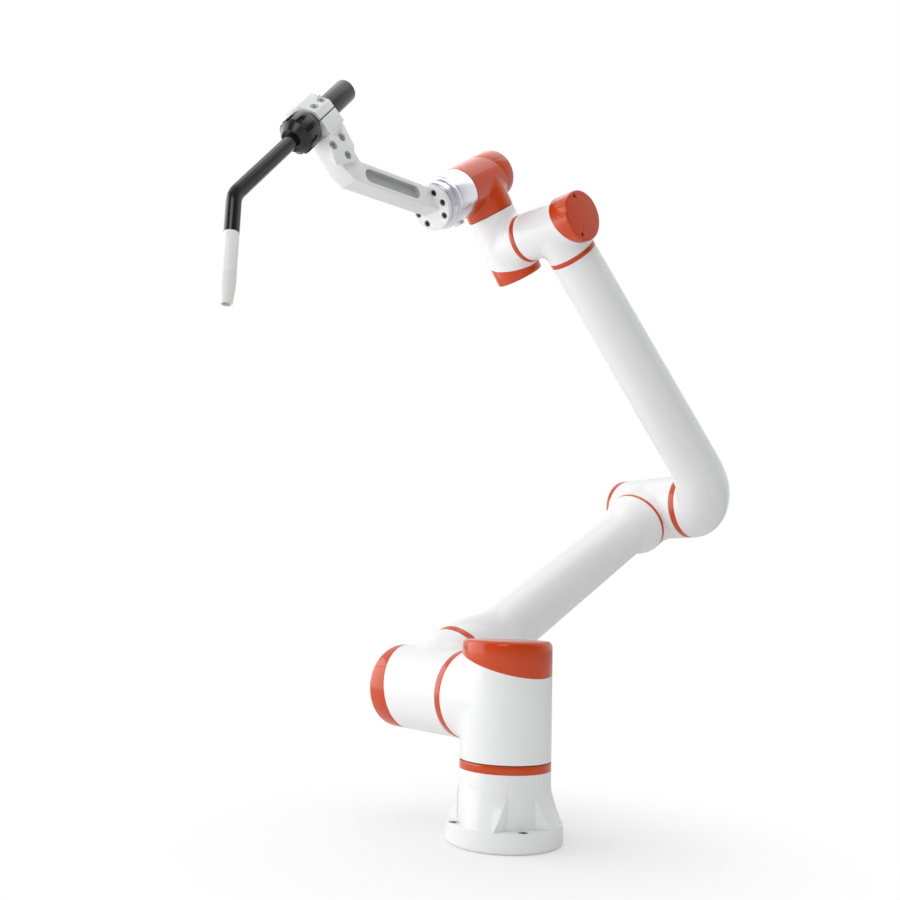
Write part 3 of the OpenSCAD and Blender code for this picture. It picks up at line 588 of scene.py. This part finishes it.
ring = collar("forearm_collar", FORE_TOP_R, fore_tube_end, WRIST_RING_W, on_fore)
finish_piece(ring, orange_paint, "forearm", ("forearm_ring",))


# First wrist: a smaller T-shaped housing on the head of the forearm. Its flat orange cap is held by two countersunk
# screws.
WRIST_R, WRIST_FACE, WRIST_TOP, WRIST_RIM = 48.25, 70.25, 68.25, 3.5
at_wrist_1 = on_fore @ Matrix.Translation((0, 0, FORE_LEN * MM)) @ Matrix.Rotation(math.pi, 4, "Y")
cap_to_plus_y = Matrix.Rotation(math.radians(-90), 4, "Y") @ Matrix.Rotation(math.radians(-90), 4, "X")
housing = cast_housing("wrist_1_casting", WRIST_R, WRIST_FACE, WRIST_TOP, WRIST_RIM, FORE_TOP_R, FORE_RING_REACH,
                       at_wrist_1 @ cap_to_plus_y, 18.2, 14.2)
finish_piece(housing, white_paint, "forearm", ("wrist_1_housing",))
cap = cast_cap("wrist_1_cap_cover", WRIST_R, WRIST_TOP, WRIST_RIM, at_wrist_1 @ cap_to_plus_y, 18.2, 14.2, "forearm")
finish_piece(cap, orange_paint, "forearm", ("wrist_1_cap",))
seal = spun("wrist_1_seal", [(0, 70.05), (45.65, 70.05), (45.65, 71.45), (0, 71.45)],
            at_wrist_1 @ Matrix.Rotation(math.radians(90), 4, "X"))
finish_piece(seal, seal_rubber, "forearm", ("wrist_1_output_disc",))


# Second wrist: the same housing again, standing across the first, with its collar on the branch.
WRIST_OFFSET, WRIST_BRANCH, WRIST_LEAN = 137.5, 56.25, 38.5
wrist_spot = at_wrist_1.translation - Vector((0, WRIST_OFFSET * MM, 0))
on_wrist_2 = Matrix.Translation(wrist_spot) @ Matrix.Rotation(math.radians(WRIST_LEAN), 4, "Y")
cap_below = Matrix.Rotation(math.radians(90), 4, "Z") @ Matrix.Rotation(math.pi, 4, "X")
ring = collar("wrist_2_collar", WRIST_R, WRIST_BRANCH, WRIST_RING_W,
              on_wrist_2 @ Matrix.Rotation(math.radians(-90), 4, "X"))
finish_piece(ring, orange_paint, "wrist_2", ("wrist_2_ring",))
housing = cast_housing("wrist_2_casting", WRIST_R, WRIST_FACE, WRIST_TOP, WRIST_RIM, WRIST_R, WRIST_BRANCH,
                       on_wrist_2 @ cap_below, 17, 15.5)
finish_piece(housing, white_paint, "wrist_2", ("wrist_2_housing",))
cap = cast_cap("wrist_2_cap_cover", WRIST_R, WRIST_TOP, WRIST_RIM, on_wrist_2 @ cap_below, 17, 15.5, "wrist_2")
finish_piece(cap, orange_paint, "wrist_2", ("wrist_2_cap",))
seal = spun("wrist_2_seal", [(0, 70.05), (45.65, 70.05), (45.65, 71.45), (0, 71.45)], on_wrist_2)
finish_piece(seal, seal_rubber, "wrist_2", ("wrist_2_output_disc",))


# Third wrist: the last housing, orange all over, with its cap in the same orange behind a fine parting line.
WRIST_3_FACE = 75.5
on_tool = (on_wrist_2 @ Matrix.Translation((0, 0, WRIST_OFFSET * MM)) @ Matrix.Rotation(math.radians(7), 4, "Z")
           @ Matrix.Rotation(math.radians(90), 4, "Y") @ Matrix.Rotation(math.pi, 4, "Z"))
cap_behind = on_tool @ Matrix.Rotation(math.pi, 4, "Y")
housing = cast_housing("wrist_3_casting", WRIST_R, WRIST_3_FACE, WRIST_TOP, WRIST_RIM, WRIST_R,
                       WRIST_BRANCH + WRIST_RING_W, cap_behind, 24, 14.2)
finish_piece(housing, orange_paint, "wrist_3", ("wrist_3_housing",))
cap = cast_cap("wrist_3_cap_cover", WRIST_R, WRIST_TOP, WRIST_RIM, cap_behind, 24, 14.2, "wrist_3")
finish_piece(cap, orange_paint, "wrist_3", ("wrist_3_cap",))
seal = spun("wrist_3_seal", [(0, 75.3), (45.65, 75.3), (45.65, 76.7), (0, 76.7)], on_tool)
finish_piece(seal, seal_rubber, "wrist_3", ("wrist_3_output_disc",))


# Tool flange: a turned and clear anodised aluminium body with a stepped face for the tool.
# The lathe leaves fine rings across it, so its reflections stretch along the axis.
def turned_metal(name, colour, second, roughness, ring_mm, place, depth_mm=0.01):
    """Lathe-turned metal: fine rings round the axis of its place, as bands of slightly different shade and bump."""
    material = bpy.data.materials.new(name)
    material.use_nodes = True
    tree = material.node_tree
    tree.nodes.clear()
    coords = add_node(tree, "ShaderNodeTexCoord")
    axis = (place.to_3x3() @ Vector((0, 0, 1))).normalized()
    origin = place.translation
    along = add_node(tree, "ShaderNodeVectorMath", {0: (coords, "Object"), 1: tuple(axis)}, operation="DOT_PRODUCT")
    line = add_node(tree, "ShaderNodeCombineXYZ", {"X": (along, "Value")})
    rings = add_node(tree, "ShaderNodeTexNoise", {"Vector": (line, 0), "Scale": 1000 / ring_mm, "Detail": 2.0})
    shade = add_node(tree, "ShaderNodeMix", {0: (rings, 0), 6: linear(colour), 7: linear(second)}, data_type="RGBA")
    bump = add_node(tree, "ShaderNodeBump", {"Height": (rings, 0), "Strength": 0.5, "Distance": depth_mm * MM})
    gloss = add_node(tree, "ShaderNodeMapRange", {"Value": (rings, 0), "To Min": roughness - 0.05, "To Max": roughness + 0.05})
    skin = add_node(tree, "ShaderNodeBsdfPrincipled", {
        "Base Color": (shade, 2), "Metallic": 1.0, "Roughness": (gloss, 0), "Normal": (bump, 0)})
    add_node(tree, "ShaderNodeOutputMaterial", {"Surface": (skin, 0)})
    return material


flange_aluminium = turned_metal("anodised_turned_aluminium", "#E2E4EA", "#D0D3DC", 0.24, 1.6, on_tool)
FLANGE_START, FLANGE_END, STEP_END, STEP_R = 77, 141, 159, 45
outline = rounded([(0, FLANGE_START), (WRIST_R, FLANGE_START, 0.6), (WRIST_R, 128, 0.3), (WRIST_R - 1.2, 129, 0.3),
                   (WRIST_R - 1.2, 131, 0.3), (WRIST_R, 132, 0.3), (WRIST_R, FLANGE_END, 1.2), (STEP_R, FLANGE_END, 0.4),
                   (STEP_R, STEP_END - 3, 0.5), (STEP_R - 2, STEP_END - 3, 0.3), (STEP_R - 2, STEP_END, 0.4),
                   (0, STEP_END)], 3)
flange = spun("tool_flange_turned", outline, on_tool)
bpy.ops.mesh.primitive_cylinder_add(vertices=48, radius=10 * MM, depth=12 * MM,
                                    location=(-(WRIST_R - 1) * MM, 0, 109 * MM), rotation=(0, math.radians(90), 0))
port = bpy.context.object
start_edit(port)
bpy.ops.mesh.select_mode(type="FACE")
bmesh_port = bmesh.from_edit_mesh(port.data)
for face in bmesh_port.faces:
    face.select_set(len(face.verts) > 8 and face.normal.z < -0.5)
bmesh.update_edit_mesh(port.data)
bpy.ops.mesh.inset(thickness=2.2 * MM)
bpy.ops.mesh.extrude_region_move(TRANSFORM_OT_translate={"value": (2.5 * MM, 0, 0)})
bpy.ops.mesh.select_all(action="DESELECT")
end_edit()
add_modifier(port, "BEVEL", width=0.4 * MM, segments=2, limit_method="ANGLE", angle_limit=math.radians(50))
smooth(port, 40)
settle(port, on_tool)
flange = joined(flange, port)
finish_piece(flange, flange_aluminium, "tool", ("tool_flange",))


# Bracket plate and bar: one milled aluminium bracket in white powder coat, a thick round plate with six screw
# holes and a cranked bar with a long pocket milled in each side.
bracket_paint = paint("white_satin_powder_coat", "#EEEEED", "#EAEAEA", 0.45, 0.0, peel_mm=1.2, peel_depth=0.03)
PLATE_R, PLATE_T, PLATE_FLAT, PLATE_FACE = 42, 12, 36, 171
bpy.ops.mesh.primitive_cylinder_add(vertices=128, radius=PLATE_R * MM, depth=PLATE_T * MM,
                                    location=(0, 0, (PLATE_FACE - PLATE_T / 2) * MM))
plate = bpy.context.object
plate.name = "bracket_plate_coated"
start_edit(plate)
bpy.ops.mesh.select_all(action="SELECT")
bpy.ops.mesh.bisect(plane_co=(PLATE_FLAT * MM, 0, 0), plane_no=(1, 0, 0), use_fill=True, clear_outer=True)
end_edit()
add_modifier(plate, "BEVEL", width=1.6 * MM, segments=3, limit_method="ANGLE", angle_limit=math.radians(50))
plate_spots = [Matrix.Rotation(math.radians(a), 4, "Z") @ Matrix.Translation((31.5 * MM, 0, PLATE_FACE * MM))
               for a in (45, 90, 135, -135, -90, -45)]
drilled(plate, plate_spots, 6.2, 6)
smooth(plate, 40)
settle(plate, on_tool)
finish_piece(plate, bracket_paint, "tool", ("bracket_plate",))
bar = bevelled_copy("bracket_bar", "bracket_bar_coated", 1.2, degrees=30)
finish_piece(bar, bracket_paint, "tool", ("bracket_bar",))

for i, spot in enumerate(plate_spots):
    screw = socket_screw(f"plate_screw_{i + 1}", 10, 4, 5, on_tool @ spot @ Matrix.Translation((0, 0, -6 * MM)))
    finish_piece(screw, black_oxide, "tool")

# Pocket floors: thin grey trays with a rim sit in the milled pockets of the bar; their grey is painted shade that
# darkens the recesses.
pocket_shade_grey = grainy("pocket_painted_shade", "#C2C3C5", 0.0, 0.5, 0.8, 0.02, 0.9)
POCKET_W, POCKET_LEN, POCKET_DEPTH, BAR_T = 24, 132, 12, 36
for side in (-1, 1):
    bpy.ops.mesh.primitive_cylinder_add(vertices=64, radius=(POCKET_W / 2 - 0.1) * MM, depth=(POCKET_DEPTH - 1) * MM)
    tray = bpy.context.object
    tray.name = f"pocket_shade_tray_{'near' if side < 0 else 'far'}"
    for vertex in tray.data.vertices:
        vertex.co.y += math.copysign((POCKET_LEN - POCKET_W) / 2 * MM, vertex.co.y + 1e-7)
    start_edit(tray)
    bpy.ops.mesh.select_mode(type="FACE")
    shape = bmesh.from_edit_mesh(tray.data)
    for face in shape.faces:
        face.select_set(face.normal.z > 0.9)
    bmesh.update_edit_mesh(tray.data)
    bpy.ops.mesh.inset(thickness=0.5 * MM)
    bpy.ops.mesh.extrude_region_move(TRANSFORM_OT_translate={"value": (0, 0, -(POCKET_DEPTH - 2) * MM)})
    end_edit()
    smooth(tray, 40)
    settle(tray, on_tool @ Matrix.Translation((67.87 * MM, side * (BAR_T / 2 - POCKET_DEPTH / 2 - 0.5) * MM, 257.02 * MM))
           @ Matrix.Rotation(math.radians(32.3), 4, "Y") @ Matrix.Rotation(math.radians(90 * -side), 4, "X"))
    finish_piece(tray, pocket_shade_grey, "tool")


# Torch clamp: a split block of eight sides whose lower half and foot grip the riser of the bar.
# It is milled and coated like the bracket; two screws close it and three hold its foot.
TORCH_SLOPE = 14.5
on_torch = (on_tool @ Matrix.Translation((155 * MM, 0, (PLATE_FACE + 414) * MM))
            @ Matrix.Rotation(math.radians(-TORCH_SLOPE), 4, "Y"))
FACET = 39 / 2 + 5.2
clamp_spots = [on_torch @ Matrix.Rotation(math.radians(-45), 4, "Z") @ Matrix.Translation((FACET * MM, 0, z * MM))
               @ Matrix.Rotation(math.radians(90), 4, "Y") for z in (-268.5, -245)]
foot_spots = [on_tool @ Matrix.Translation(((124.45 + up) * MM, -25 * MM, (310.94 + along) * MM))
              @ Matrix.Rotation(math.radians(90), 4, "X") for up, along in ((47.5, 21.8), (40.5, 49.8), (17.5, 28.8))]
worn_zinc = grainy("worn_zinc_steel", "#A3A4A6", 1.0, 0.45, 0.8, 0.02)
for node, spots, radius in (("clamp_lower", (), 0), ("clamp_upper", clamp_spots, 7), ("clamp_foot", foot_spots, 7.2)):
    half = bevelled_copy(node, node + "_coated", 0.8, degrees=30)
    drilled(half, spots, radius, 2.2)
    smooth(half, 35)
    finish_piece(half, bracket_paint, "tool", (node,))
for i, spot in enumerate(clamp_spots):
    screw = socket_screw(f"clamp_screw_{i + 1}", 13.2, 2, 5, spot @ Matrix.Translation((0, 0, -2.3 * MM)))
    finish_piece(screw, worn_zinc, "tool")
for i, spot in enumerate(foot_spots):
    screw = socket_screw(f"foot_screw_{i + 1}", 12.8, 2.3, 5.5, spot @ Matrix.Translation((0, 0, -2.3 * MM)))
    finish_piece(screw, worn_zinc, "tool")


# Torch: a black moulded body with a key lug, a ribbed union nut, a bent black tube and a pale nozzle.
# The body and the nut are glass-filled nylon, the neck is coated brass tube.
torch_moulding = grainy("black_glass_filled_nylon", "#1E1E1E", 0.0, 0.24, 0.9, 0.012)
TORCH_R, BODY_REAR, CLAMP_REAR, NUT_REAR, NUT_FRONT, NUT_R, NUT_SLOTS = 19.5, 358, 278, 216, 170, 30.5, 10
body = spun("torch_body_moulding", rounded([(0, -BODY_REAR), (16.5, -BODY_REAR, 0.8), (TORCH_R, 3 - BODY_REAR, 0.8),
                                            (TORCH_R, -NUT_REAR, 0.4), (0, -NUT_REAR)], 3), on_torch, steps=64)
bpy.ops.mesh.primitive_cube_add(size=1)
lug = bpy.context.object
lug.scale = (6 * MM, 10 * MM, 9 * MM)
settle(lug, on_torch @ Matrix.Translation(((TORCH_R + 1) * MM, 0, (-CLAMP_REAR - 6) * MM)))
add_modifier(lug, "BEVEL", width=0.9 * MM, segments=3, limit_method="ANGLE", angle_limit=math.radians(50))
smooth(lug, 40)
body = joined(body, lug)
finish_piece(body, torch_moulding, "tool", ("torch_body",))
nut = spun("collet_nut_moulding", rounded([(0, -NUT_REAR), (NUT_R, -NUT_REAR, 1.2), (NUT_R, -184.5, 1), (28, -183, 0.6),
                                           (19, -170.5, 1.5), (16, -170.5, 0.5), (15, -173, 0.3), (0, -173)], 3),
           Matrix.Identity(4), steps=80)
for i in range(NUT_SLOTS):
    bpy.ops.mesh.primitive_cube_add(size=1)
    slot_tool = bpy.context.object
    slot_tool.scale = (6 * MM, 8 * MM, 16 * MM)
    settle(slot_tool, Matrix.Rotation(math.tau * (i + 0.5) / NUT_SLOTS, 4, "Z")
           @ Matrix.Translation(((NUT_R + 0.4) * MM, 0, -191 * MM)))
    add_modifier(nut, "BOOLEAN", operation="DIFFERENCE", object=slot_tool, solver="EXACT")
    bpy.data.objects.remove(slot_tool)
add_modifier(nut, "BEVEL", width=0.5 * MM, segments=2, limit_method="ANGLE", angle_limit=math.radians(50))
smooth(nut, 40)
settle(nut, on_torch)
finish_piece(nut, torch_moulding, "tool", ("collet_nut",))

neck_coating = grainy("black_coated_tube", "#1E1E1E", 0.0, 0.18, 0.6, 0.005)
NECK_R, BEND_R, BEND_TURN, SLEEVE_START = 11.9, 40, 35, 62
straight = BEND_R * math.tan(math.radians(BEND_TURN / 2))
bpy.ops.curve.primitive_bezier_curve_add()
neck = bpy.context.object
neck.name = "torch_neck_tube"
neck.data.splines.clear()
path = [(0, 0, -NUT_FRONT - 4), (0, 0, -120), (0, 0, -70), (0, 0, -40)]
for k in range(17):
    a = math.radians(BEND_TURN * k / 16)
    path.append((-BEND_R + BEND_R * math.cos(a), 0, -straight + BEND_R * math.sin(a)))
out = (-math.sin(math.radians(BEND_TURN)), 0, math.cos(math.radians(BEND_TURN)))
path += [tuple(c * d for c in out) for d in (30, 45, SLEEVE_START + 1)]
line = neck.data.splines.new("POLY")
line.points.add(len(path) - 1)
for point, spot in zip(line.points, path):
    point.co = (*[c * MM for c in spot], 1)
neck.data.dimensions = "3D"
neck.data.bevel_depth = NECK_R * MM
neck.data.bevel_resolution = 14
neck.data.use_fill_caps = True
bpy.ops.object.select_all(action="DESELECT")
neck.select_set(True)
bpy.context.view_layer.objects.active = neck
bpy.ops.object.convert(target="MESH")
neck = bpy.context.object
start_edit(neck)
bpy.ops.mesh.select_all(action="SELECT")
bpy.ops.mesh.remove_doubles(threshold=0.000005)
bpy.ops.mesh.select_all(action="SELECT")
bpy.ops.mesh.normals_make_consistent(inside=False)
end_edit()
smooth(neck, 45)
settle(neck, on_torch)
finish_piece(neck, neck_coating, "tool", ("torch_neck",))

on_nozzle = on_torch @ Matrix.Rotation(math.radians(-BEND_TURN), 4, "Y")
sleeve_plastic = grainy("pale_glass_fibre_sleeve", "#EDEDEB", 0.0, 0.4, 1.0, 0.02, 0.97)
sleeve = spun("nozzle_sleeve_moulding", rounded([(0, 62), (11.75, 62, 0.5), (11.75, 130.5, 0.4), (11, 130.9, 0.1),
                                                 (11, 131.6), (0, 131.6)], 3), on_nozzle, steps=64)
finish_piece(sleeve, sleeve_plastic, "tool", ("nozzle_sleeve",))
nozzle_coat = grainy("ceramic_coated_nozzle", "#E9E9E7", 0.0, 0.36, 0.8, 0.02, 0.97)
nozzle = spun("gas_nozzle_turned", rounded([(6.5, 131.4), (12, 131.4, 0.5), (12, 146, 20), (8.75, 177, 0.5),
                                            (6.5, 177, 0.5), (6.5, 131.4)], 4), on_nozzle, steps=64)
finish_piece(nozzle, nozzle_coat, "tool", ("gas_nozzle",))
tip_alloy = turned_metal("drawn_copper_alloy", "#B97A55", "#A5683F", 0.32, 0.6, on_nozzle, 0.005)
tip = spun("contact_tip_turned", rounded([(0, 125), (4, 125), (4, 169, 0.3), (2.4, 173, 0.5), (0.6, 173), (0.6, 171), (0, 171)], 3),
           on_nozzle, steps=48)
finish_piece(tip, tip_alloy, "tool", ("contact_tip",))
